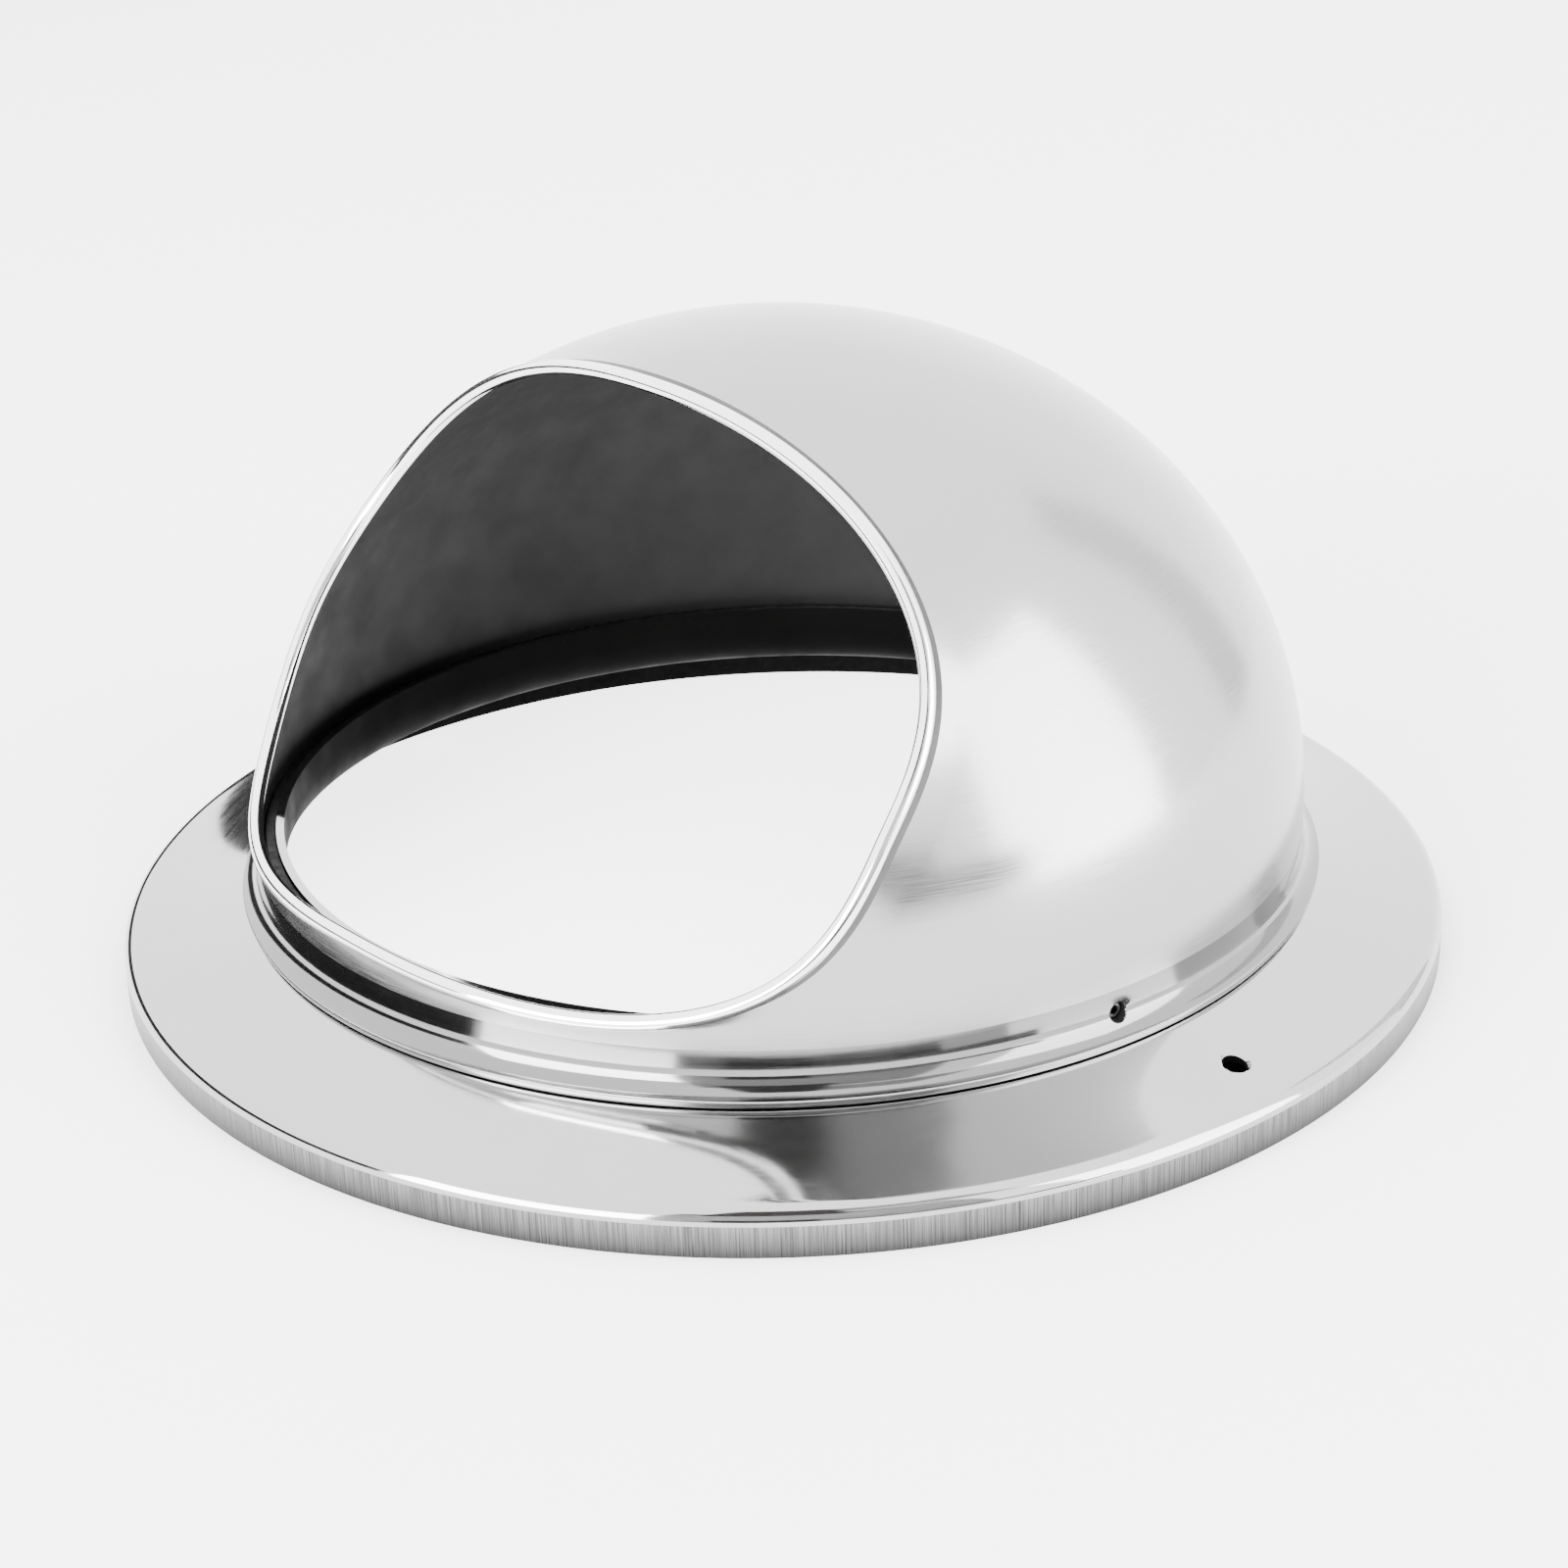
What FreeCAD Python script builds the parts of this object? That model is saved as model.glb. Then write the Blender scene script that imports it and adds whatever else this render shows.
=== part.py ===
import FreeCAD, Part
import os
from math import cos, pi, radians, sin

os.makedirs("parts", exist_ok=True)

# Low cowl vent for a boat's deck: a pressed stainless dome with a wide scooped mouth turns on the
# neck of a round deck flange, and two grub screws in its skirt lock it.
# Millimetres. The origin is the centre of the flange's underside, +Z is up and the mouth faces -Y.

# Driving dimensions
SHEET = 1.2                    # thickness of both pressings
EQUATOR_Z = 22.2               # widest level of the dome above the deck
DOME_RADIUS = 80.0
DOME_RISE = 71.6               # outer top of the dome above its equator
SKIRT_STRAIGHT = 6.8           # vertical part of the skirt below the equator
SKIRT_FLARE_RADIUS = 3.3
SKIRT_FLARE_TURN = 77.8        # degrees that the skirt's foot turns outward

MOUTH_TILT = 41.1              # degrees that the mouth looks up
MOUTH_HALF_WIDTH = 64.5
MOUTH_HALF_HEIGHT = 43.9       # square to the line the mouth looks along
MOUTH_DROP = 7.9               # centre of the mouth below the line through the equator's centre
MOUTH_POWER = 2.47             # power of the superellipse: 2 is an ellipse, more is squarer
MOUTH_STEPS = 48               # points that the mouth's outline is drawn through
MOUTH_CUT_START = 20.0         # where the cutting prism starts, along the line the mouth looks
MOUTH_CUT_LENGTH = 100.0
RIM_RADIUS = 1.15              # rounded bead welded along the mouth's edge

NECK_RADIUS = 76.8             # outside of the neck
NECK_TOP_DROP = 1.2            # neck's top edge below the equator
NECK_FILLET = 6.0              # between the neck and the flange
FLANGE_SLOPE_INNER = 19.0      # degrees of fall at the inner and outer end of the dished face
FLANGE_SLOPE_OUTER = 8.0
FLANGE_RADIUS = 101.2
FLANGE_ROLL = 2.2              # rounding between the dished face and the upright rim
RIM_HEIGHT = 4.6               # straight part of the upright rim

DECK_HOLE_RADIUS = 1.8
DECK_HOLE_CIRCLE = 92.0        # radius of the circle that the deck screws stand on
DECK_HOLE_ANGLES = (0.0, 180.0)

CLAMP_ANGLE = 7.0              # screws stand this many degrees forward of the beam
CLAMP_DROP = 7.4               # screw axis below the equator
CLAMP_RADIUS = 1.2             # M2.5 grub screw
CLAMP_CLEARANCE = 0.05         # radial clearance in the tapped hole
CLAMP_FACE = 79.7              # distance of the screw's outer end from the vent's axis
CLAMP_SHOULDER = 78.4          # where its point begins
CLAMP_TIP = 77.6               # where its point ends, just off the neck
CLAMP_TIP_RADIUS = 0.5
SOCKET_ACROSS_FLATS = 1.27
SOCKET_DEPTH = 1.1

RING_CLEARANCE = 0.05          # glide ring on the neck
RING_GAP = 0.3                 # glide ring to the turning dome
RING_TOP_DROP = 1.7
RING_BOTTOM_DROP = 5.4

GASKET_INNER = 97.3
GASKET_OUTER = 99.7
GASKET_HEIGHT = 5.2

AXIS_POINT = FreeCAD.Vector(0, 0, 0)
UP = FreeCAD.Vector(0, 0, 1)
ACROSS = FreeCAD.Vector(1, 0, 0)


def point(radius, height):
    """A point of a section, in the XZ plane."""
    return FreeCAD.Vector(radius, 0, height)


def line(start, end):
    return Part.LineSegment(start, end).toShape()


def arc(centre, radius, start_angle, end_angle):
    """An arc of a section; angles are in degrees, 0 outward and 90 up."""
    middle = 0.5 * (start_angle + end_angle)
    ends = [
        centre + FreeCAD.Vector(radius * cos(radians(a)), 0, radius * sin(radians(a)))
        for a in (start_angle, middle, end_angle)
    ]
    return Part.Arc(*ends).toShape()


def dome_curve(radius, rise):
    """Quarter of the dome's section, from its equator to its top."""
    centre = point(0, EQUATOR_Z)
    ellipse = Part.Ellipse(point(radius, EQUATOR_Z), point(0, EQUATOR_Z + rise), centre)
    return Part.ArcOfEllipse(ellipse, 0, pi / 2).toBSpline().toShape()


def revolve(edges):
    face = Part.Face(Part.Wire(Part.__sortEdges__(edges)))
    return face.revolve(AXIS_POINT, UP, 360)


def tube(inner, outer, bottom, top):
    """Upright ring of rectangular section."""
    ring = Part.makeCylinder(outer, top - bottom, point(0, bottom), UP)
    return ring.cut(Part.makeCylinder(inner, top - bottom, point(0, bottom), UP))


def mouth_frame():
    """The line that the mouth looks along, and the direction square to it that points up."""
    tilt = radians(MOUTH_TILT)
    look = FreeCAD.Vector(0, -cos(tilt), sin(tilt))
    rise = FreeCAD.Vector(0, sin(tilt), cos(tilt))
    return look, rise


def mouth_outline():
    """Superellipse in the plane through the equator's centre, square to the mouth's line."""
    rise = mouth_frame()[1]
    centre = point(0, EQUATOR_Z) - rise * MOUTH_DROP
    places = []
    for step in range(MOUTH_STEPS):
        angle = 2 * pi * step / MOUTH_STEPS
        across = abs(cos(angle) / MOUTH_HALF_WIDTH) ** MOUTH_POWER
        upward = abs(sin(angle) / MOUTH_HALF_HEIGHT) ** MOUTH_POWER
        reach = (across + upward) ** (-1 / MOUTH_POWER)
        places.append(centre + (ACROSS * cos(angle) + rise * sin(angle)) * reach)
    return places


def closed_curve(places):
    curve = Part.BSplineCurve()
    curve.interpolate(Points=places, PeriodicFlag=True)
    return Part.Wire([curve.toShape()])


def onto_dome(place, radius, rise_height):
    """Moves a point along the mouth's line to the dome whose half axes are given."""
    look = mouth_frame()[0]
    offset = place - point(0, EQUATOR_Z)
    weights = (1 / radius**2, 1 / radius**2, 1 / rise_height**2)
    a = sum(w * l * l for w, l in zip(weights, look))
    b = 2 * sum(w * l * o for w, l, o in zip(weights, look, offset))
    c = sum(w * o * o for w, o in zip(weights, offset)) - 1
    distance = (-b + (b * b - 4 * a * c) ** 0.5) / (2 * a)
    return place + look * distance


def make_mouth_rim():
    half = SHEET / 2
    places = [onto_dome(p, DOME_RADIUS - half, DOME_RISE - half) for p in mouth_outline()]
    path = closed_curve(places)
    edge = path.Edges[0]
    start = edge.valueAt(edge.FirstParameter)
    tangent = edge.tangentAt(edge.FirstParameter)
    sweep = Part.BRepOffsetAPI.MakePipeShell(path)
    sweep.setBiNormalMode(mouth_frame()[0])
    sweep.add(Part.Wire([Part.makeCircle(RIM_RADIUS, start, tangent)]))
    sweep.build()
    sweep.makeSolid()
    return sweep.shape()


def clamp_directions():
    """Outward directions of the two clamp screws, port and starboard of the mouth."""
    angle = radians(CLAMP_ANGLE)
    return {
        "left": FreeCAD.Vector(-cos(angle), -sin(angle), 0),
        "right": FreeCAD.Vector(cos(angle), -sin(angle), 0),
    }


def make_cowl_shell(mouth_rim):
    flare_centre = point(DOME_RADIUS + SKIRT_FLARE_RADIUS, EQUATOR_Z - SKIRT_STRAIGHT)
    inner_flare = SKIRT_FLARE_RADIUS + SHEET
    inner_radius = DOME_RADIUS - SHEET
    start, end = 180, 180 + SKIRT_FLARE_TURN
    outer_arc = arc(flare_centre, SKIRT_FLARE_RADIUS, start, end)
    inner_arc = arc(flare_centre, inner_flare, start, end)
    foot = flare_centre + FreeCAD.Vector(cos(radians(end)), 0, sin(radians(end))) * inner_flare
    toe = flare_centre + FreeCAD.Vector(cos(radians(end)), 0, sin(radians(end))) * SKIRT_FLARE_RADIUS
    section = [
        dome_curve(DOME_RADIUS, DOME_RISE),
        line(point(DOME_RADIUS, EQUATOR_Z), point(DOME_RADIUS, EQUATOR_Z - SKIRT_STRAIGHT)),
        outer_arc,
        line(toe, foot),
        inner_arc,
        line(point(inner_radius, EQUATOR_Z - SKIRT_STRAIGHT), point(inner_radius, EQUATOR_Z)),
        dome_curve(inner_radius, DOME_RISE - SHEET),
        line(point(0, EQUATOR_Z + DOME_RISE - SHEET), point(0, EQUATOR_Z + DOME_RISE)),
    ]
    shell = revolve(section)
    look = mouth_frame()[0]
    outline = closed_curve([p + look * MOUTH_CUT_START for p in mouth_outline()])
    shell = shell.cut(Part.Face(outline).extrude(look * MOUTH_CUT_LENGTH))
    shell = shell.cut(mouth_rim)
    for direction in clamp_directions().values():
        hole_start = direction * (NECK_RADIUS - SHEET) + point(0, EQUATOR_Z - CLAMP_DROP)
        hole_length = FLANGE_RADIUS - NECK_RADIUS
        hole = Part.makeCylinder(CLAMP_RADIUS + CLAMP_CLEARANCE, hole_length, hole_start, direction)
        shell = shell.cut(hole)
    return shell


def flange_section(offset):
    """Edges of the flange's upper side, or of its underside when offset is the sheet thickness."""
    inner_slope = radians(FLANGE_SLOPE_INNER)
    outer_slope = radians(FLANGE_SLOPE_OUTER)
    roll_centre = point(FLANGE_RADIUS - FLANGE_ROLL, RIM_HEIGHT)
    fillet_centre_radius = NECK_RADIUS + NECK_FILLET
    dish_start = fillet_centre_radius - NECK_FILLET * sin(inner_slope)
    dish_end = roll_centre.x + FLANGE_ROLL * sin(outer_slope)
    dish_radius = (dish_end - dish_start) / (sin(inner_slope) - sin(outer_slope))
    dish_end_z = roll_centre.z + FLANGE_ROLL * cos(outer_slope)
    dish_centre = point(
        dish_end + dish_radius * sin(outer_slope),
        dish_end_z + dish_radius * cos(outer_slope),
    )
    dish_start_z = dish_centre.z - dish_radius * cos(inner_slope)
    fillet_centre = point(fillet_centre_radius, dish_start_z + NECK_FILLET * cos(inner_slope))
    neck = NECK_RADIUS - offset
    rim = FLANGE_RADIUS - offset
    neck_top = EQUATOR_Z - NECK_TOP_DROP
    return [
        line(point(neck, neck_top), point(neck, fillet_centre.z)),
        arc(fillet_centre, NECK_FILLET + offset, 180, 270 - FLANGE_SLOPE_INNER),
        arc(dish_centre, dish_radius + offset, 270 - FLANGE_SLOPE_INNER, 270 - FLANGE_SLOPE_OUTER),
        arc(roll_centre, FLANGE_ROLL - offset, 90 - FLANGE_SLOPE_OUTER, 0),
        line(point(rim, RIM_HEIGHT), point(rim, 0)),
    ]


def make_deck_flange():
    neck_top = EQUATOR_Z - NECK_TOP_DROP
    ends = [
        line(point(NECK_RADIUS - SHEET, neck_top), point(NECK_RADIUS, neck_top)),
        line(point(FLANGE_RADIUS - SHEET, 0), point(FLANGE_RADIUS, 0)),
    ]
    flange = revolve(flange_section(0) + flange_section(SHEET) + ends)
    for angle in DECK_HOLE_ANGLES:
        x = DECK_HOLE_CIRCLE * cos(radians(angle))
        y = DECK_HOLE_CIRCLE * sin(radians(angle))
        hole = Part.makeCylinder(DECK_HOLE_RADIUS, EQUATOR_Z, FreeCAD.Vector(x, y, 0), UP)
        flange = flange.cut(hole)
    return flange


def make_clamp_screw(direction):
    """Grub screw with a pointed tip and a hexagon socket, lying along its outward direction."""
    height = point(0, EQUATOR_Z - CLAMP_DROP)
    body = Part.makeCylinder(
        CLAMP_RADIUS, CLAMP_FACE - CLAMP_SHOULDER, height + direction * CLAMP_SHOULDER, direction
    )
    tip = Part.makeCone(
        CLAMP_TIP_RADIUS, CLAMP_RADIUS, CLAMP_SHOULDER - CLAMP_TIP,
        height + direction * CLAMP_TIP, direction,
    )
    corner_radius = SOCKET_ACROSS_FLATS / 2 / cos(radians(30))
    side = UP.cross(direction)
    centre = height + direction * (CLAMP_FACE - SOCKET_DEPTH)
    corners = []
    for step in range(7):
        angle = radians(60 * step)
        corners.append(centre + (side * cos(angle) + UP * sin(angle)) * corner_radius)
    socket = Part.Face(Part.makePolygon(corners)).extrude(direction * SOCKET_DEPTH)
    return body.fuse(tip).removeSplitter().cut(socket)


def make_glide_ring():
    return tube(
        NECK_RADIUS + RING_CLEARANCE,
        DOME_RADIUS - SHEET - RING_GAP,
        EQUATOR_Z - RING_BOTTOM_DROP,
        EQUATOR_Z - RING_TOP_DROP,
    )


def make_rim_gasket():
    return tube(GASKET_INNER, GASKET_OUTER, 0, GASKET_HEIGHT)


mouth_rim = make_mouth_rim()
parts = {
    "cowl_shell": make_cowl_shell(mouth_rim),
    "mouth_rim": mouth_rim,
    "deck_flange": make_deck_flange(),
    "glide_ring": make_glide_ring(),
    "rim_gasket": make_rim_gasket(),
}
for side, direction in clamp_directions().items():
    parts["clamp_screw_" + side] = make_clamp_screw(direction)

for name, shape in parts.items():
    shape.exportStep(os.path.join("parts", name + ".step"))
    box = shape.BoundBox
    print(
        f"{name}: {len(shape.Solids)} solid, valid {shape.isValid()}, {shape.Volume:.1f} mm3, "
        f"z {box.ZMin:.2f} to {box.ZMax:.2f}, x {box.XMin:.2f} to {box.XMax:.2f}"
    )
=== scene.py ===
"""Cowl vent: a polished dome with a scooped mouth turns on a dished deck flange."""
import bisect
import math

import bpy
from mathutils import Matrix, Vector

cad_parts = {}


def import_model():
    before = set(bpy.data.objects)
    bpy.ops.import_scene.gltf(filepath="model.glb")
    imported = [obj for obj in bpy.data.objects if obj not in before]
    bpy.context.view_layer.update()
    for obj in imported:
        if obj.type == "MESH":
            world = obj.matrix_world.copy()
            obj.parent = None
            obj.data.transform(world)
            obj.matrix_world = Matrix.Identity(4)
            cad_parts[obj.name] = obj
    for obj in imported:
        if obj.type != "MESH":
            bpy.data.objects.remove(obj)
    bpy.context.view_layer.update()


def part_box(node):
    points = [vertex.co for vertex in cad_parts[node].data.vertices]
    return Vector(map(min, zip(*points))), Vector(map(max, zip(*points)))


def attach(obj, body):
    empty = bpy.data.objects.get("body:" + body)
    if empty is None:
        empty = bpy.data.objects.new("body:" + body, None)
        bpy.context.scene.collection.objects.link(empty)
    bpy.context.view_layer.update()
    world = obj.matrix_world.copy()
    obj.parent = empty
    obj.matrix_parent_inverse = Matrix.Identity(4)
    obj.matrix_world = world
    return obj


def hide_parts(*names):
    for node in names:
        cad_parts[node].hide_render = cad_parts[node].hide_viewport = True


MM = 0.001
SHEET = 1.2 * MM
DOME_RADIUS = 80 * MM
DOME_RISE = 71.6 * MM
JOIN_DROP = 3.2 * MM            # level where the dome's mesh meets the skirt's, below the equator
SKIRT_STRAIGHT = 6.8 * MM
SKIRT_FLARE_RADIUS = 3.3 * MM
SKIRT_FLARE_TURN = 77.8         # degrees
EDGE_BULGE = 0.12 * MM          # rounding of a sheared sheet edge

MOUTH_TILT = math.radians(41.1)
MOUTH_HALF_WIDTH = 64.5 * MM
MOUTH_HALF_HEIGHT = 43.9 * MM
MOUTH_DROP = 7.9 * MM
MOUTH_POWER = 2.47
RIM_RADIUS = 1.15 * MM
LIP_RISE = 0.35 * MM            # the sheet turns outward this far where it meets the bead
LIP_REACH = 6 * MM
BEAD_SIDES = 28

NECK_RADIUS = 76.8 * MM
NECK_FILLET = 6 * MM
FLANGE_SLOPES = (19, 8)         # degrees of fall at the inner and outer end of the dished face
FLANGE_ROLL = 2.2 * MM
RIM_HEIGHT = 4.6 * MM
DECK_HOLE_CIRCLE = 92 * MM
DECK_HOLE_RADIUS = 1.8 * MM
DECK_HOLE_BREAK = (0.45 * MM, 0.3 * MM)  # width and depth of the holes' broken edges
DECK_HOLE_AZIMUTHS = (90, 270)
BRUSHED_RISE = 0.4 * MM         # the rim's brushing runs this far onto the roll
GASKET_INNER = 97.3 * MM
CLAMP_AZIMUTHS = {"clamp_screw_right": 83, "clamp_screw_left": 277}
CLAMP_DROP = 7.4 * MM
CLAMP_HOLE_RADIUS = 1.4 * MM
CLAMP_HOLE_BREAK = 0.14 * MM
SCREW_SINK = 0.6 * MM           # the screw's face lies this far behind the CAD one
SCREW_SHANK = 1.3 * MM
SCREW_LENGTH = 2.0 * MM         # as far as it can be seen
SCREW_SIDES = 48
SOCKET_RADIUS = 0.73 * MM       # corner of the hexagon socket
SOCKET_DEPTH = 1.1 * MM

OUTSIDE, INSIDE, BAND, SEAM_SHADE = range(4)   # materials of the dome, in the order of its slots
FACE, RIM, UNDERSIDE = range(3)          # and those of the flange
PAINTED_BAND_START = 0.3 * MM           # where the skirt's band of painted dark reflection begins, below the join
SEAM_ROWS = 6                   # rows of the dome's mesh that lie under the bead and in the seam, which is painted shade
DOME_ROWS = 84
FIRST_DOME_ROW = 0.3 * MM       # the rows are this close beside the mouth
DOME_ROW_GROWTH = 2.2           # and grow apart by this power
FLANGE_ROW = 0.55 * MM
RIM_ROW = 0.9 * MM
COLUMN_STEP = 1.0               # degrees between columns
FINE_STEP = 0.5                 # degrees between columns beside a hole
FINE_REACH = 4.0                # degrees either side of a hole
NOISE_RANGE = (0.3, 0.7)        # nearly all of a noise texture lies between these

CAMERA_AZIMUTH = math.radians(48.8)
CAMERA_ELEVATION = math.radians(23.92)
CAMERA_ROLL = math.radians(2.01)
CAMERA_DISTANCE = 480 * MM
CAMERA_LENS = 71.52
CAMERA_SHIFT = (0.0040, -0.0050)
TENT_STRENGTH = 5.5
CARD_CENTRE = 22 * MM           # height that the cards are set out from
FLOOR_REACH = 6.0
FLOOR_WHITE = (0.97, 0.97, 0.97)
# Glowing floor patch under the vent: painted light in place of the vent's shadow.
PATCH_RADIUS = 98 * MM
PATCH_NOTCH = (77 * MM, 10 * MM)   # where the patch's notch starts, and half its width
# Black disc on the floor under the deck hole: a painted shadow.
HOLE_SHADOW_RADIUS = 8 * MM


class Builder:
    """Collects the vertices and faces of one piece."""

    def __init__(self):
        self.points = []
        self.faces = []
        self.finishes = []

    def vertex(self, place):
        self.points.append(place)
        return len(self.points) - 1

    def face(self, corners, finish=0, flip=False):
        self.faces.append(tuple(reversed(corners)) if flip else tuple(corners))
        self.finishes.append(finish)

    def strip(self, first, second, finish=0, flip=False):
        """Quads between two closed loops with the same number of vertices."""
        for i, a in enumerate(first):
            j = (i + 1) % len(first)
            self.face((a, first[j], second[j], second[i]), finish, flip)

    def object(self, name, materials, smooth_angle=40):
        mesh = bpy.data.meshes.new(name)
        mesh.from_pydata(self.points, [], self.faces)
        for material in materials:
            mesh.materials.append(material)
        mesh.polygons.foreach_set("material_index", self.finishes)
        mesh.update()
        mesh.shade_smooth()
        mesh.set_sharp_from_angle(angle=math.radians(smooth_angle))
        piece = bpy.data.objects.new(name, mesh)
        bpy.context.scene.collection.objects.link(piece)
        return piece


def around(radius, azimuth, height):
    """Point at an azimuth in degrees, counted from the mouth's side towards +X."""
    turn = math.radians(azimuth)
    return Vector((radius * math.sin(turn), -radius * math.cos(turn), height))


def columns(*hole_azimuths):
    """Azimuths of a grid's columns, closer together beside the holes."""
    found = {round(i * COLUMN_STEP, 3) for i in range(int(360 / COLUMN_STEP))}
    for hole in hole_azimuths:
        steps = int(FINE_REACH / FINE_STEP)
        found |= {round(hole + i * FINE_STEP, 3) for i in range(-steps, steps + 1)}
    return sorted(found)


class Profile:
    """Polyline of (radius, height) points that can be read at any length along it."""

    def __init__(self, points):
        self.points = points
        self.lengths = [0.0]
        for a, b in zip(points, points[1:]):
            self.lengths.append(self.lengths[-1] + math.dist(a, b))
        self.end = self.lengths[-1]

    def at(self, length):
        k = min(max(bisect.bisect_right(self.lengths, length) - 1, 0), len(self.points) - 2)
        span = self.lengths[k + 1] - self.lengths[k]
        part = (length - self.lengths[k]) / span
        (r0, z0), (r1, z1) = self.points[k], self.points[k + 1]
        return r0 + (r1 - r0) * part, z0 + (z1 - z0) * part

    def length_at_radius(self, radius):
        for k, ((r0, _), (r1, _)) in enumerate(zip(self.points, self.points[1:])):
            if min(r0, r1) <= radius < max(r0, r1):
                span = self.lengths[k + 1] - self.lengths[k]
                return self.lengths[k] + span * (radius - r0) / (r1 - r0)
        raise ValueError("the profile never reaches this radius")


def arc(centre, radius, start, end, steps):
    """Points on an arc; angles in degrees from the outward direction."""
    angles = [math.radians(start + (end - start) * i / steps) for i in range(steps + 1)]
    return [(centre[0] + radius * math.cos(a), centre[1] + radius * math.sin(a)) for a in angles]


class Hole:
    """Round hole in a revolved skin, at an azimuth in degrees and a length along the profile.

    circle is the skin's radius there, and the mesh has a square of cells of this pitch round it.
    """

    def __init__(self, azimuth, length, circle, radius, pitch, cells):
        self.azimuth = azimuth
        self.length = length
        self.circle = circle
        self.radius = radius
        self.pitch = pitch
        self.cells = cells

    def rows(self):
        return [self.length + i * self.pitch for i in range(-self.cells, self.cells + 1)]


def spaced(start, end, pitch):
    """Even steps from start up to, but not including, end."""
    count = max(1, round((end - start) / pitch))
    return [start + (end - start) * i / count for i in range(count)]


def hole_rows(start, end, pitch, hole):
    """Row positions from start to end that pass evenly through a hole's block."""
    rows = hole.rows()
    return spaced(start, rows[0], pitch) + rows[:-1] + spaced(rows[-1], end, pitch) + [end]


def lay_grid(builder, place, azimuths, rows, holes, finish, flip):
    """Lays a closed grid of quads and leaves round holes. Gives its rings and each hole's loop.

    place gives the point at an azimuth and a row, and finish gives a row's material.
    """
    rings = [[builder.vertex(place(a, s)) for a in azimuths] for s in rows]
    blocks = []
    for hole in holes:
        i = azimuths.index(hole.azimuth)
        j = min(range(len(rows)), key=lambda k: abs(rows[k] - hole.length))
        blocks.append((i - hole.cells, i + hole.cells, j - hole.cells, j + hole.cells))
    for j in range(len(rows) - 1):
        for i in range(len(azimuths)):
            if any(i0 <= i < i1 and j0 <= j < j1 for i0, i1, j0, j1 in blocks):
                continue
            k = (i + 1) % len(azimuths)
            corners = (rings[j][i], rings[j + 1][i], rings[j + 1][k], rings[j][k])
            builder.face(corners, finish(rows[j]), flip)
    loops = []
    for hole, block in zip(holes, blocks):
        loops.append(ease_to_hole(builder, place, azimuths, rows, rings, hole, block, finish, flip))
    return rings, loops


def ease_to_hole(builder, place, azimuths, rows, rings, hole, block, finish, flip):
    """Fills between the square block's border and the round hole."""
    i0, i1, j0, j1 = block
    border = [(i, j0) for i in range(i0, i1)] + [(i1, j) for j in range(j0, j1)]
    border += [(i, j1) for i in range(i1, i0, -1)] + [(i0, j) for j in range(j1, j0, -1)]
    flat = []
    for i, j in border:
        across = math.radians(azimuths[i] - hole.azimuth) * hole.circle
        flat.append(Vector((across, rows[j] - hole.length)))
    loop = [rings[j][i] for i, j in border]
    for ease in (0.35, 0.65, 0.85, 1.0):
        inner = []
        for spot in flat:
            goal = spot.lerp(spot.normalized() * hole.radius, ease)
            azimuth = hole.azimuth + math.degrees(goal.x / hole.circle)
            inner.append(builder.vertex(place(azimuth, hole.length + goal.y)))
        builder.strip(loop, inner, finish(hole.length), not flip)
        loop = inner
    return loop


def break_edge(builder, loop, foot, axis, radius, depth):
    """Loop of a drilled hole's own radius, just inside its mouth, so that the edge is broken."""
    made = []
    for index in loop:
        off = builder.points[index] - foot
        along = axis * off.dot(axis)
        out = (off - along).normalized() * radius
        made.append(builder.vertex(foot + along + out - axis * depth))
    return made


# ---------------------------------------------------------------- dome and skirt


def equator_height():
    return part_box("cowl_shell")[1].z - DOME_RISE


def mouth_direction(turn):
    """Direction, on a unit sphere, of the mouth's edge at a turn in radians round the opening."""
    across = abs(math.cos(turn) / MOUTH_HALF_WIDTH) ** MOUTH_POWER
    upward = abs(math.sin(turn) / MOUTH_HALF_HEIGHT) ** MOUTH_POWER
    reach = (across + upward) ** (-1 / MOUTH_POWER)
    look = Vector((0, -math.cos(MOUTH_TILT), math.sin(MOUTH_TILT)))
    rise = Vector((0, math.sin(MOUTH_TILT), math.cos(MOUTH_TILT)))
    flat = rise * (math.sin(turn) * reach - MOUTH_DROP) + Vector((math.cos(turn) * reach, 0, 0))
    half = SHEET / 2
    size = (DOME_RADIUS - half, DOME_RADIUS - half, DOME_RISE - half)
    p = Vector([c / s for c, s in zip(flat, size)])
    d = Vector([c / s for c, s in zip(look, size)])
    along = (-p.dot(d) + math.sqrt(p.dot(d) ** 2 - d.dot(d) * (p.dot(p) - 1))) / d.dot(d)
    return p + d * along


def dome_point(direction, inset):
    """Place and normal on the dome for a unit direction; below the equator the wall is upright."""
    radius, rise = DOME_RADIUS - inset, DOME_RISE - inset
    if direction.z >= 0:
        place = Vector((direction.x * radius, direction.y * radius, direction.z * rise))
        normal = Vector((direction.x / radius, direction.y / radius, direction.z / rise))
        return place, normal.normalized()
    level = Vector((direction.x, direction.y, 0)).normalized()
    return level * radius + Vector((0, 0, direction.z * rise)), level


def lip_height(distance, length):
    """How far the sheet stands out at a distance from the mouth, less on a short column."""
    near = max(0.0, 1 - distance / LIP_REACH)
    return LIP_RISE * near * near * min(1.0, length / (4 * LIP_REACH))


def dome_arc(azimuth):
    """Where a column leaves the mouth and where it meets the skirt, and the angle between."""
    start = mouth_direction(math.radians(azimuth - 90))
    fall = math.asin(JOIN_DROP / DOME_RISE)
    end = around(math.cos(fall), azimuth, -math.sin(fall))
    return start, end, start.angle(end)


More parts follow.
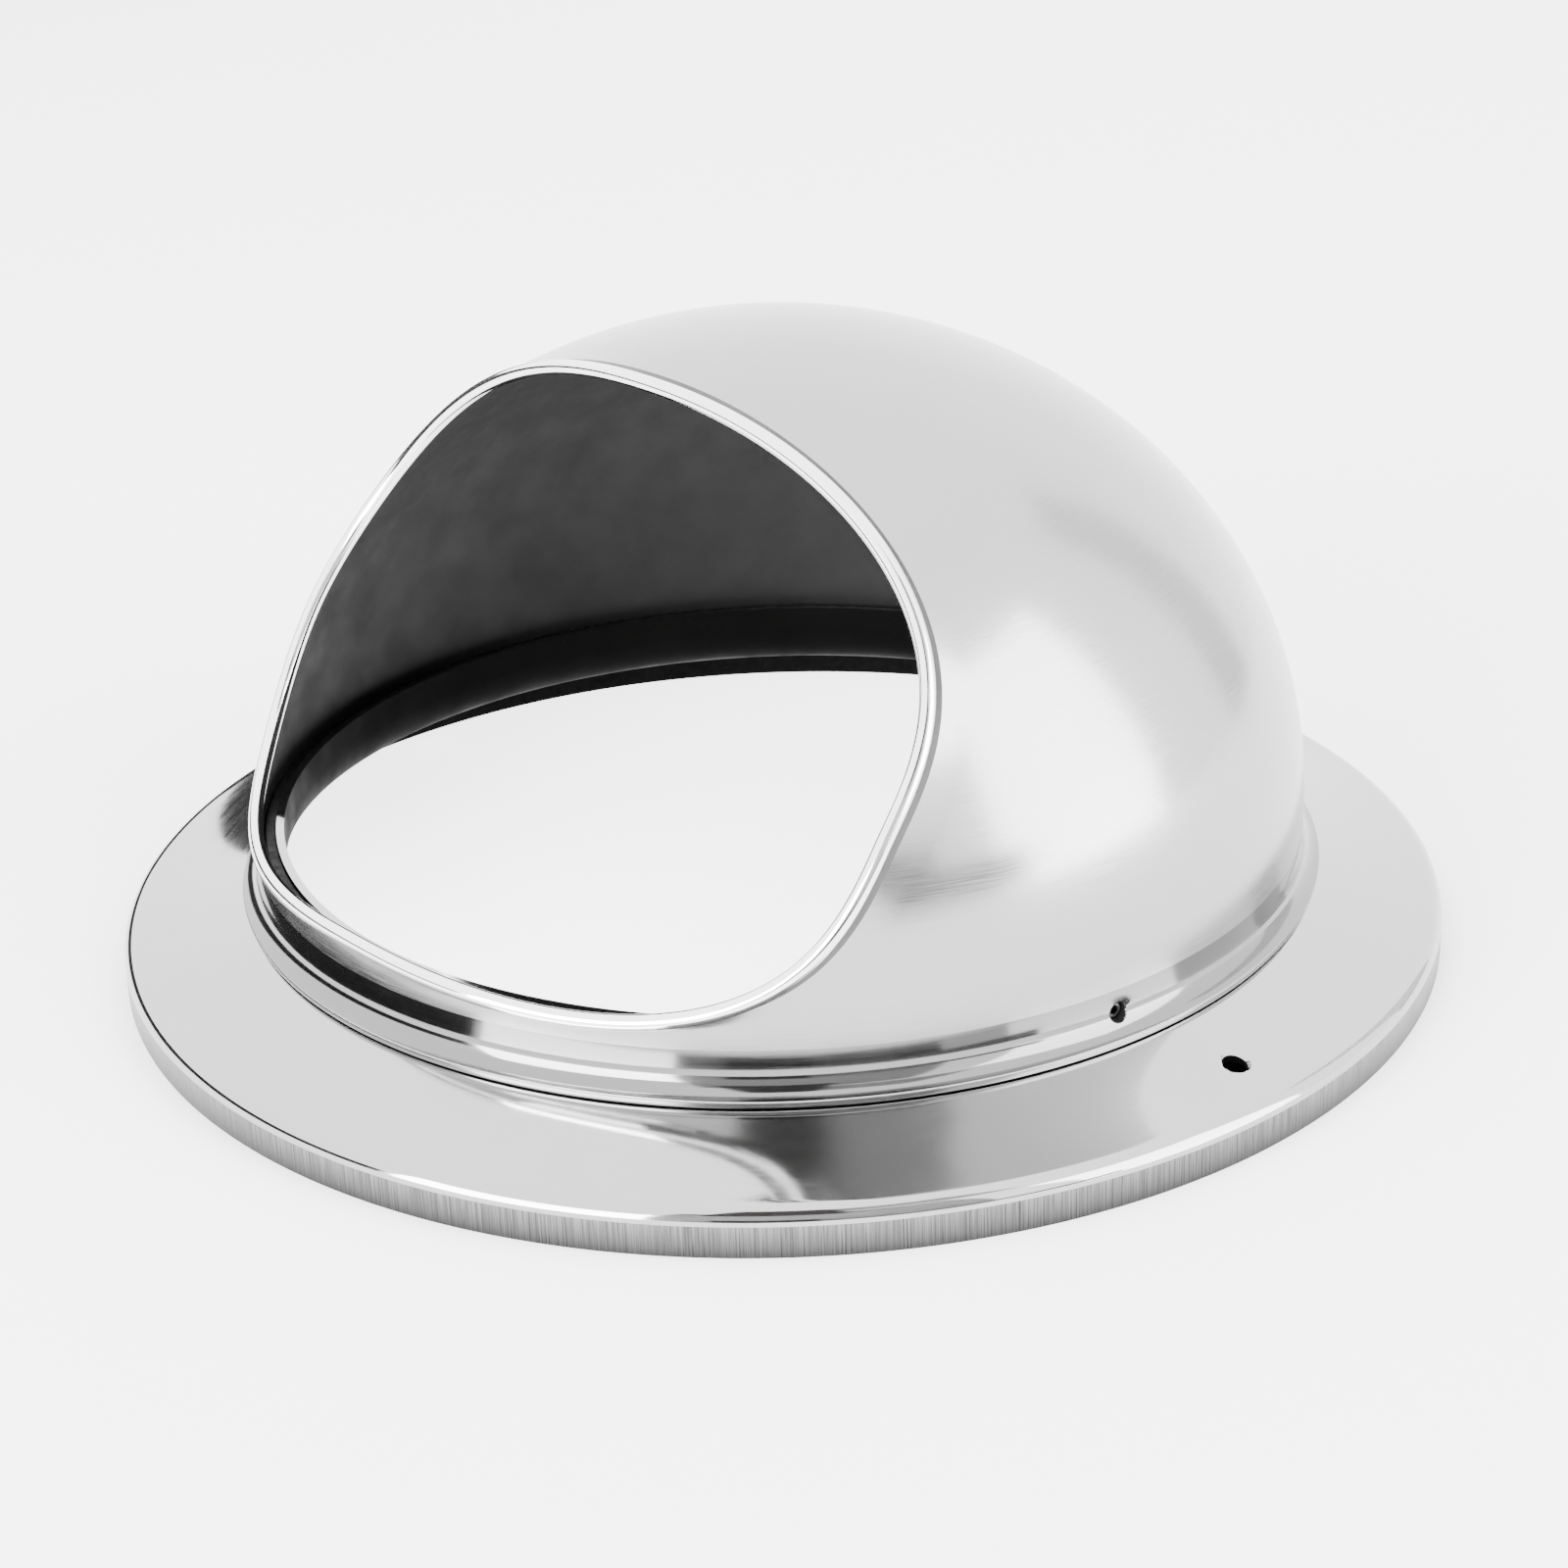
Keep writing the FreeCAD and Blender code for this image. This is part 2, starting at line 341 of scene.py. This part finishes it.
def dome_skin(azimuth, part, inset):
    """Point of the outer or inner skin; part runs from 0 at the mouth to 1 at the skirt."""
    start, end, angle = dome_arc(azimuth)
    length = angle * DOME_RADIUS
    first = min(1.0, FIRST_DOME_ROW * DOME_ROWS / length)
    eased = first * part + (1 - first) * part**DOME_ROW_GROWTH
    direction = start.slerp(end, eased)
    place, normal = dome_point(direction, inset)
    return place + normal * lip_height(eased * length, length)


def skirt_profiles(equator):
    """Outer and inner profile of the skirt, from the level where it meets the dome."""
    centre = (DOME_RADIUS + SKIRT_FLARE_RADIUS, equator - SKIRT_STRAIGHT)
    profiles = []
    for inset in (0, SHEET):
        flare = arc(centre, SKIRT_FLARE_RADIUS + inset, 180, 180 + SKIRT_FLARE_TURN, 48)
        profiles.append(Profile([(DOME_RADIUS - inset, equator - JOIN_DROP)] + flare))
    return profiles


def outside_finish(s):
    """Painted shade in the seam beside the bead, then the polished dome, then the skirt in darker
    steel, a painted dark reflection.
    """
    if s < SEAM_ROWS / DOME_ROWS - 1:
        return SEAM_SHADE
    return BAND if s > PAINTED_BAND_START else OUTSIDE


def inside_finish(s):
    return INSIDE


def clamp_holes(inset, pitch):
    """The clamp holes in the outer or inner skin of the skirt."""
    flare = SKIRT_FLARE_RADIUS + inset
    below = math.asin((CLAMP_DROP - SKIRT_STRAIGHT) / flare)
    spot = SKIRT_STRAIGHT - JOIN_DROP + below * flare
    radius = CLAMP_HOLE_RADIUS + (0 if inset else CLAMP_HOLE_BREAK)
    return [Hole(a, spot, DOME_RADIUS, radius, pitch, 4) for a in CLAMP_AZIMUTHS.values()]


def lay_shell_skin(builder, azimuths, equator, profile, inset):
    """One skin of the dome and skirt.

    A row is a share of the dome, from -1 at the mouth to 0 at the join, and then metres of skirt.
    """
    pitch = math.radians(FINE_STEP) * DOME_RADIUS
    holes = clamp_holes(inset, pitch)
    lift = Vector((0, 0, equator))

    def place(azimuth, s):
        if s < 0:
            return dome_skin(azimuth, 1 + s, inset) + lift
        radius, height = profile.at(s)
        return around(radius, azimuth, height)

    rows = [i / DOME_ROWS - 1 for i in range(DOME_ROWS)]
    rows += hole_rows(0, profile.end, pitch, holes[0])
    finish = inside_finish if inset else outside_finish
    return lay_grid(builder, place, azimuths, rows, holes, finish, inset > 0)


def make_cowl_shell(steel, lacquer, band, seam):
    """Dome and skirt as one sheet with an outer skin, an inner skin and closed edges."""
    equator = equator_height()
    azimuths = columns(*CLAMP_AZIMUTHS.values())
    builder = Builder()
    outer, inner = skirt_profiles(equator)
    outer_rings, outer_loops = lay_shell_skin(builder, azimuths, equator, outer, 0)
    inner_rings, inner_loops = lay_shell_skin(builder, azimuths, equator, inner, SHEET)
    close_sheet_edge(builder, outer, inner, azimuths, outer_rings[-1], inner_rings[-1])
    builder.strip(outer_rings[0], inner_rings[0])
    foot = Vector((0, 0, equator - CLAMP_DROP))
    for azimuth, first, second in zip(CLAMP_AZIMUTHS.values(), outer_loops, inner_loops):
        axis = around(1, azimuth, 0)
        edge = break_edge(builder, first, foot, axis, CLAMP_HOLE_RADIUS, CLAMP_HOLE_BREAK)
        builder.strip(first, edge, OUTSIDE, True)
        builder.strip(edge, second, INSIDE, True)
    piece = builder.object("cowl_shell_skin", [steel, lacquer, band, seam], 28)
    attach(piece, "cowl")
    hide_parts("cowl_shell")


def close_sheet_edge(builder, outer, inner, azimuths, first, last):
    """Rounded sheared edge between the ends of two profiles, with their last rings first and last."""
    (r0, z0), (r1, z1) = outer.at(outer.end), inner.at(inner.end)
    (rb, zb) = outer.at(outer.end - 0.1 * MM)
    out = Vector((r0 - rb, z0 - zb)).normalized()
    ring = first
    for part, bulge in ((0.12, 0.7), (0.35, 1.0), (0.65, 1.0), (0.88, 0.7)):
        r = r0 + (r1 - r0) * part + out.x * bulge * EDGE_BULGE
        z = z0 + (z1 - z0) * part + out.y * bulge * EDGE_BULGE
        following = [builder.vertex(around(r, a, z)) for a in azimuths]
        builder.strip(ring, following, flip=True)
        ring = following
    builder.strip(ring, last, flip=True)


def bead_line(azimuths):
    """Centres of the bead's sections along the mouth's edge, and the dome's normals there."""
    lift = Vector((0, 0, equator_height()))
    centres, normals = [], []
    for azimuth in azimuths:
        start, _, angle = dome_arc(azimuth)
        place, normal = dome_point(start, SHEET / 2)
        centres.append(place + normal * lip_height(0, angle * DOME_RADIUS) + lift)
        normals.append(normal)
    return centres, normals


def make_mouth_bead(steel):
    """Rounded bead along the mouth's edge."""
    centres, normals = bead_line(columns())
    builder = Builder()
    rings = []
    for i, (centre, normal) in enumerate(zip(centres, normals)):
        along = (centres[(i + 1) % len(centres)] - centres[i - 1]).normalized()
        side = along.cross(normal).normalized()
        out = side.cross(along)
        ring = []
        for k in range(BEAD_SIDES):
            turn = 2 * math.pi * k / BEAD_SIDES
            off = side * math.cos(turn) + out * math.sin(turn)
            ring.append(builder.vertex(centre + off * RIM_RADIUS))
        rings.append(ring)
    for i, ring in enumerate(rings):
        builder.strip(ring, rings[(i + 1) % len(rings)])
    piece = builder.object("mouth_bead", [steel])
    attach(piece, "cowl")
    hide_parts("mouth_rim")


# ---------------------------------------------------------------- flange


def flange_profile(radius, neck_top, inset):
    """Profile of one side of the flange, from the neck's top edge to the rim's lower edge."""
    inner, outer = (math.radians(s) for s in FLANGE_SLOPES)
    roll = (radius - FLANGE_ROLL, RIM_HEIGHT)
    fillet_r = NECK_RADIUS + NECK_FILLET
    dish_start = fillet_r - NECK_FILLET * math.sin(inner)
    dish_end = roll[0] + FLANGE_ROLL * math.sin(outer)
    dish_radius = (dish_end - dish_start) / (math.sin(inner) - math.sin(outer))
    dish = (
        dish_end + dish_radius * math.sin(outer),
        roll[1] + (FLANGE_ROLL + dish_radius) * math.cos(outer),
    )
    fillet = (fillet_r, dish[1] - (dish_radius - NECK_FILLET) * math.cos(inner))
    points = [(NECK_RADIUS - inset, neck_top)]
    points += arc(fillet, NECK_FILLET + inset, 180, 270 - FLANGE_SLOPES[0], 32)
    points += arc(dish, dish_radius + inset, 270 - FLANGE_SLOPES[0], 270 - FLANGE_SLOPES[1], 40)[1:]
    points += arc(roll, FLANGE_ROLL - inset, 90 - FLANGE_SLOPES[1], 0, 20)
    points += [(radius - inset, 0)]
    return Profile(points)


def flange_finish(profile, inset):
    """Gives the function from row to material: lacquer below, and brushing on the upright rim."""
    if inset:
        return lambda s: UNDERSIDE
    brushed = profile.end - RIM_HEIGHT - BRUSHED_RISE
    return lambda s: RIM if s > brushed else FACE


def lay_flange_skin(builder, azimuths, profile, inset):
    """One skin of the flange, from the neck's top to the rim's lower edge."""
    pitch = math.radians(FINE_STEP) * DECK_HOLE_CIRCLE
    spot = profile.length_at_radius(DECK_HOLE_CIRCLE)
    radius = DECK_HOLE_RADIUS + (0 if inset else DECK_HOLE_BREAK[0])
    holes = [Hole(a, spot, DECK_HOLE_CIRCLE, radius, pitch, 6) for a in DECK_HOLE_AZIMUTHS]
    rim_start = profile.end - RIM_HEIGHT
    rows = hole_rows(0, rim_start, FLANGE_ROW, holes[0])
    rows += spaced(rim_start, profile.end, RIM_ROW)[1:] + [profile.end]

    def place(azimuth, s):
        radius, height = profile.at(s)
        return around(radius, azimuth, height)

    finish = flange_finish(profile, inset)
    return lay_grid(builder, place, azimuths, rows, holes, finish, inset > 0)


def make_deck_flange(steel, brushed, lacquer):
    """Flange as one sheet with an upper skin, a lower skin, closed edges and drilled deck holes."""
    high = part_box("deck_flange")[1]
    azimuths = columns(*DECK_HOLE_AZIMUTHS)
    builder = Builder()
    upper, lower = (flange_profile(high.x, high.z, inset) for inset in (0, SHEET))
    upper_rings, upper_loops = lay_flange_skin(builder, azimuths, upper, 0)
    lower_rings, lower_loops = lay_flange_skin(builder, azimuths, lower, SHEET)
    builder.strip(upper_rings[0], lower_rings[0], FACE)
    builder.strip(upper_rings[-1], lower_rings[-1], RIM, True)
    depth, up = DECK_HOLE_BREAK[1], Vector((0, 0, 1))
    for azimuth, first, second in zip(DECK_HOLE_AZIMUTHS, upper_loops, lower_loops):
        foot = around(DECK_HOLE_CIRCLE, azimuth, 0)
        edge = break_edge(builder, first, foot, up, DECK_HOLE_RADIUS, depth)
        builder.strip(first, edge, FACE, True)
        builder.strip(edge, second, UNDERSIDE, True)
    piece = builder.object("deck_flange_skin", [steel, brushed, lacquer])
    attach(piece, "base")
    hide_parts("deck_flange")


# ---------------------------------------------------------------- small pieces


def rounded_ring(name, node, material, inner, bevel):
    """Flat ring as large as its CAD node, with rounded corners."""
    low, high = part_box(node)
    outer = high.x
    builder = Builder()
    section = []
    for r, z, start in (
        (outer - bevel, high.z - bevel, 0),
        (inner + bevel, high.z - bevel, 90),
        (inner + bevel, low.z + bevel, 180),
        (outer - bevel, low.z + bevel, 270),
    ):
        section += arc((r, z), bevel, start, start + 90, 5)
    rings = [[builder.vertex(around(r, a, z)) for a in columns()] for r, z in section]
    for i, ring in enumerate(rings):
        builder.strip(ring, rings[(i + 1) % len(rings)])
    piece = builder.object(name, [material])
    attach(piece, "base")
    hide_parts(node)


def hexagon_reach(turn, corner):
    """Distance from a hexagon's centre to its side at a turn in radians."""
    off = (turn + math.pi / 6) % (math.pi / 3) - math.pi / 6
    return corner * math.cos(math.pi / 6) / math.cos(off)


def make_clamp_screw(node, material):
    """Grub screw with a hexagon socket and a pointed end."""
    low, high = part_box(node)
    axis, up = around(1, CLAMP_AZIMUTHS[node], 0), Vector((0, 0, 1))
    sideways = axis.cross(up)
    radius = (high.z - low.z) / 2
    face = max(abs(low.x), abs(high.x)) / abs(axis.x) - SCREW_SINK
    middle = Vector((0, 0, (low.z + high.z) / 2))
    builder = Builder()

    def ring(reach, size, hexagon=False):
        made = []
        for k in range(SCREW_SIDES):
            turn = 2 * math.pi * k / SCREW_SIDES
            r = hexagon_reach(turn, size) if hexagon else size
            off = (sideways * math.cos(turn) + up * math.sin(turn)) * r
            made.append(builder.vertex(axis * reach + off + middle))
        return made

    floor = face - SOCKET_DEPTH
    loops = [
        ring(floor, SOCKET_RADIUS * 0.5, True),
        ring(floor + 0.1 * MM, SOCKET_RADIUS * 0.98, True),
        ring(face - 0.08 * MM, SOCKET_RADIUS, True),
        ring(face, SOCKET_RADIUS * 1.08, True),
        ring(face, radius * 0.86),
        ring(face - 0.15 * MM, radius),
        ring(face - SCREW_SHANK, radius),
        ring(face - SCREW_LENGTH, radius * 0.42),
    ]
    for first, second in zip(loops, loops[1:]):
        builder.strip(first, second, flip=True)
    builder.face(loops[0])
    builder.face(loops[-1], flip=True)
    piece = builder.object(node + "_body", [material], 25)
    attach(piece, node.replace("_screw", ""))
    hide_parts(node)


# ---------------------------------------------------------------- materials


class Shader:
    """Short ways to wire a Principled material."""

    def __init__(self, name):
        self.material = bpy.data.materials.new(name)
        self.material.use_nodes = True
        self.nodes = self.material.node_tree.nodes
        self.links = self.material.node_tree.links
        self.surface = self.nodes["Principled BSDF"]
        self.place = self.nodes.new("ShaderNodeTexCoord").outputs["Object"]

    def set(self, **values):
        for name, value in values.items():
            self.surface.inputs[name.replace("_", " ")].default_value = value

    def link(self, output, socket):
        self.links.new(output, self.surface.inputs[socket])

    def turned(self, around_scale, up_scale):
        """Coordinates that run round the vertical axis, for marks left by a lathe or a belt."""
        split = self.nodes.new("ShaderNodeSeparateXYZ")
        self.links.new(self.place, split.inputs[0])
        angle = self.nodes.new("ShaderNodeMath")
        angle.operation = "ARCTAN2"
        self.links.new(split.outputs["X"], angle.inputs[0])
        self.links.new(split.outputs["Y"], angle.inputs[1])
        joined = self.nodes.new("ShaderNodeCombineXYZ")
        self.links.new(angle.outputs[0], joined.inputs["X"])
        self.links.new(split.outputs["Z"], joined.inputs["Y"])
        scaled = self.nodes.new("ShaderNodeVectorMath")
        scaled.operation = "MULTIPLY"
        self.links.new(joined.outputs[0], scaled.inputs[0])
        scaled.inputs[1].default_value = (around_scale, up_scale, 1)
        return scaled.outputs[0]

    def noise(self, scale, detail=3, vector=None):
        node = self.nodes.new("ShaderNodeTexNoise")
        node.inputs["Scale"].default_value = scale
        node.inputs["Detail"].default_value = detail
        self.links.new(vector or self.place, node.inputs["Vector"])
        return node.outputs["Fac"]

    def spread(self, value, low, high):
        """A noise's value, spread over the range from low to high."""
        node = self.nodes.new("ShaderNodeMapRange")
        self.links.new(value, node.inputs["Value"])
        node.inputs["From Min"].default_value = NOISE_RANGE[0]
        node.inputs["From Max"].default_value = NOISE_RANGE[1]
        node.inputs["To Min"].default_value = low
        node.inputs["To Max"].default_value = high
        return node.outputs["Result"]

    def ramp(self, value, low, high):
        """Greys from low to high, by a noise's value."""
        node = self.nodes.new("ShaderNodeValToRGB")
        self.links.new(value, node.inputs["Fac"])
        for stop, position, grey in zip(node.color_ramp.elements, NOISE_RANGE, (low, high)):
            stop.position = position
            stop.color = (grey, grey, grey, 1)
        return node.outputs["Color"]

    def painted_shade_below(self, colour, height):
        """Painted shade: lets a colour fall off from this height down to the deck."""
        split = self.nodes.new("ShaderNodeSeparateXYZ")
        self.links.new(self.place, split.inputs[0])
        level = self.nodes.new("ShaderNodeMapRange")
        self.links.new(split.outputs["Z"], level.inputs["Value"])
        level.inputs["From Max"].default_value = height
        level.inputs["To Min"].default_value = 0.35
        level.inputs["To Max"].default_value = 1.2
        scaled = self.nodes.new("ShaderNodeVectorMath")
        scaled.operation = "SCALE"
        self.links.new(colour, scaled.inputs[0])
        self.links.new(level.outputs["Result"], scaled.inputs["Scale"])
        return scaled.outputs[0]

    def bump(self, value, distance, strength=1.0):
        node = self.nodes.new("ShaderNodeBump")
        node.inputs["Distance"].default_value = distance
        node.inputs["Strength"].default_value = strength
        self.links.new(value, node.inputs["Height"])
        self.link(node.outputs["Normal"], "Normal")


def polished_steel(name, tint, roughness):
    """Buffed stainless steel: faint haze, marks round the vertical axis, waviness from the press."""
    shader = Shader(name)
    shader.set(Metallic=1.0)
    haze = shader.noise(55, 4)
    shader.link(shader.ramp(haze, tint * 0.96, tint), "Base Color")
    marks = shader.noise(1.0, 6, shader.turned(9, 5200))
    shader.link(shader.spread(marks, roughness * 0.75, roughness * 1.3), "Roughness")
    shader.bump(shader.noise(38, 2), 0.00004, 0.5)
    return shader.material


def brushed_steel(name):
    """Rim left with upright grinding marks, and painted shade that darkens it towards the deck."""
    shader = Shader(name)
    shader.set(Metallic=1.0)
    marks = shader.noise(1.0, 5, shader.turned(420, 60))
    colour = shader.painted_shade_below(shader.ramp(marks, 0.04, 0.19), RIM_HEIGHT)
    shader.link(colour, "Base Color")
    shader.link(shader.spread(marks, 0.22, 0.42), "Roughness")
    shader.bump(shader.noise(1.0, 4, shader.turned(900, 90)), 0.00006, 0.6)
    return shader.material


def dark_lacquer_and_seam_shade(name, low, high, shine):
    """Dull dark coating on the inside, a little cloudy; the same dark paints shade in the seam beside
    the bead.
    """
    shader = Shader(name)
    shader.set(Metallic=0.0, Specular_IOR_Level=shine)
    clouds = shader.noise(24, 3)
    shader.link(shader.ramp(clouds, low, high), "Base Color")
    shader.link(shader.spread(shader.noise(140, 3), 0.42, 0.6), "Roughness")
    shader.bump(shader.noise(900, 2), 0.00003, 0.4)
    return shader.material


def screw_painted_dark(name):
    """Dull steel of the grub screws, darkened as painted shade of the hole they sit in, with fine
    mottling.
    """
    shader = Shader(name)
    shader.set(Metallic=1.0)
    shader.link(shader.ramp(shader.noise(900, 3), 0.03, 0.09), "Base Color")
    shader.link(shader.spread(shader.noise(1500, 3), 0.3, 0.5), "Roughness")
    shader.bump(shader.noise(2500, 2), 0.00002, 0.5)
    return shader.material


def moulded(name, low, high, roughness):
    """Moulded plastic or rubber with a fine grain."""
    shader = Shader(name)
    shader.set(Specular_IOR_Level=0.05)
    shader.link(shader.ramp(shader.noise(220, 3), low, high), "Base Color")
    shader.link(shader.spread(shader.noise(800, 2), roughness - 0.1, roughness + 0.1), "Roughness")
    shader.bump(shader.noise(1800, 2), 0.00004, 0.5)
    return shader.material


# ---------------------------------------------------------------- studio


def plain(name, colour, glow=0.0):
    """Flat matt colour for the stage, which may also glow."""
    material = bpy.data.materials.new(name)
    material.use_nodes = True
    surface = material.node_tree.nodes["Principled BSDF"]
    surface.inputs["Base Color"].default_value = (*colour, 1)
    surface.inputs["Roughness"].default_value = 0.9
    surface.inputs["Specular IOR Level"].default_value = 0.0
    surface.inputs["Emission Color"].default_value = (*colour, 1)
    surface.inputs["Emission Strength"].default_value = glow
    return material


def wall(name, turns, climb, distance, material):
    """Card that the steel reflects, outside the picture.

    turns are azimuths round from the camera and climb are elevations, both in degrees and seen
    from the object.
    """
    builder = Builder()
    start, end = turns
    steps = max(2, round(abs(end - start) / 4))
    home = math.degrees(CAMERA_AZIMUTH)
    azimuths = [home + start + (end - start) * i / steps for i in range(steps + 1)]
    rings = []
    for elevation in climb:
        rise = math.radians(elevation)
        level, height = distance * math.cos(rise), CARD_CENTRE + distance * math.sin(rise)
        rings.append([builder.vertex(around(level, a, height)) for a in azimuths])
    for i in range(steps):
        builder.face((rings[0][i], rings[0][i + 1], rings[1][i + 1], rings[1][i]))
    card = builder.object(name, [material])
    card.visible_camera = False


def make_floor():
    builder = Builder()
    corners = [(-1, -1), (1, -1), (1, 1), (-1, 1)]
    builder.face([builder.vertex(Vector((x, y, 0)) * FLOOR_REACH) for x, y in corners])
    builder.object("floor", [plain("floor_white", FLOOR_WHITE)])


def make_painted_light_pool():
    """Glowing patch of floor under the vent, a painted pool of light where its shadow would fall;
    left out below the deck hole on the camera's side.
    """
    notch_start, notch_half_width = PATCH_NOTCH
    builder = Builder()
    corners = []
    for turn in range(0, 360, 5):
        spot = around(PATCH_RADIUS, turn, 0.05 * MM)
        if abs(spot.y) < notch_half_width:
            spot.x = min(spot.x, notch_start)
        corners.append(builder.vertex(spot))
    builder.face(corners)
    builder.object("floor_light", [plain("floor_painted_light", FLOOR_WHITE, 4.0)])


def make_hole_shadow(material):
    """Painted shadow: a black disc on the floor, where the camera looks through the deck hole on its
    side.
    """
    away = around(HOLE_SHADOW_RADIUS, math.degrees(CAMERA_AZIMUTH) + 180, 0)
    centre = around(DECK_HOLE_CIRCLE, DECK_HOLE_AZIMUTHS[0], 0.1 * MM) + away
    edge = [centre + around(HOLE_SHADOW_RADIUS, turn, 0) for turn in range(0, 360, 10)]
    builder = Builder()
    builder.face([builder.vertex(spot) for spot in edge])
    builder.object("painted_hole_shadow", [material])


def make_cards():
    """Cards round the object, from which the bands and edges in the steel come."""
    dark = plain("dark_card", (0.02, 0.02, 0.02))
    low = plain("low_card", (0.14, 0.14, 0.14))
    operator = plain("operator_card", (0.036, 0.034, 0.033))
    bright = plain("bright_card", (1.0, 1.0, 1.0), 30.0)
    grey = plain("grey_card", (0.22, 0.22, 0.22))
    pale = plain("pale_card", (0.5, 0.5, 0.5))
    warm = plain("warm_card", (1.0, 1.0, 1.0), 11.0)
    wall("card_left", (-165, -64), (-1, 12), 1.2, dark)
    wall("card_camera", (-12, 4), (-1, 14), 1.2, operator)
    wall("card_white", (-62, -22), (0, 30), 1.2, bright)
    wall("card_low", (4, 50), (0, 7), 1.15, low)
    wall("card_operator", (-16, 10), (40, 72), 1.2, operator)
    wall("card_grey_front", (10, 48), (52, 70), 1.2, grey)
    wall("card_grey_near", (-21, 30), (-1, 50), 1.3, grey)
    wall("card_grey_side", (112, 126), (-1, 44), 1.3, pale)
    wall("panel_side", (44, 84), (-2, 46), 1.25, warm)


def make_studio():
    """White tent round a pale floor, with the cards, a glowing patch of painted light and a painted
    shadow under a deck hole.
    """
    world = bpy.data.worlds.new("tent")
    world.use_nodes = True
    background = world.node_tree.nodes["Background"]
    background.inputs["Color"].default_value = (1, 1, 1, 1)
    background.inputs["Strength"].default_value = TENT_STRENGTH
    bpy.context.scene.world = world
    make_floor()
    make_painted_light_pool()
    make_cards()
    make_hole_shadow(plain("hole_black", (0.001, 0.001, 0.001)))


def make_camera(target):
    """Camera at the photograph's angle, tilted a little about its own axis."""
    data = bpy.data.cameras.new("camera")
    data.lens = CAMERA_LENS
    data.shift_x, data.shift_y = CAMERA_SHIFT
    camera = bpy.data.objects.new("camera", data)
    bpy.context.scene.collection.objects.link(camera)
    level, rise = math.cos(CAMERA_ELEVATION), math.sin(CAMERA_ELEVATION)
    back = around(level, math.degrees(CAMERA_AZIMUTH), rise)
    right = Vector((0, 0, 1)).cross(back).normalized()
    up = back.cross(right)
    tilted_right = right * math.cos(CAMERA_ROLL) - up * math.sin(CAMERA_ROLL)
    tilted_up = up * math.cos(CAMERA_ROLL) + right * math.sin(CAMERA_ROLL)
    axes = Matrix((tilted_right, tilted_up, back)).transposed().to_4x4()
    camera.matrix_world = Matrix.Translation(target + back * CAMERA_DISTANCE) @ axes
    bpy.context.scene.camera = camera


def make_pieces():
    shell = polished_steel("polished_shell", 0.31, 0.19)
    dome_inside = dark_lacquer_and_seam_shade("dome_lacquer", 0.0065, 0.0095, 0.08)
    # The skirt's steel is a darker copy of the shell's: a painted dark reflection.
    skirt = polished_steel("skirt_painted_dark", 0.16, 0.09)
    # The strip beside the bead is painted shade in the seam.
    make_cowl_shell(shell, dome_inside, skirt, dark_lacquer_and_seam_shade("bead_seam_painted_shade", 0.02, 0.06, 0.3))
    # The bead's steel is a much lighter copy of the shell's: a painted highlight.
    make_mouth_bead(polished_steel("bead_painted_highlight", 0.82, 0.08))
    flange = polished_steel("polished_flange", 0.34, 0.06)
    underside = dark_lacquer_and_seam_shade("flange_lacquer", 0.001, 0.002, 0.01)
    make_deck_flange(flange, brushed_steel("brushed_rim"), underside)
    nylon = moulded("black_nylon", 0.003, 0.0045, 0.5)
    rounded_ring("glide_ring_body", "glide_ring", nylon, NECK_RADIUS + 0.05 * MM, 0.25 * MM)
    rubber = moulded("gasket_rubber", 0.001, 0.0018, 0.8)
    rounded_ring("rim_gasket_body", "rim_gasket", rubber, GASKET_INNER, 0.3 * MM)
    screw = screw_painted_dark("screw_steel")
    for node in CLAMP_AZIMUTHS:
        make_clamp_screw(node, screw)


def main():
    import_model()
    make_pieces()
    make_studio()
    make_camera(Vector((0, 0, equator_height())))


main()
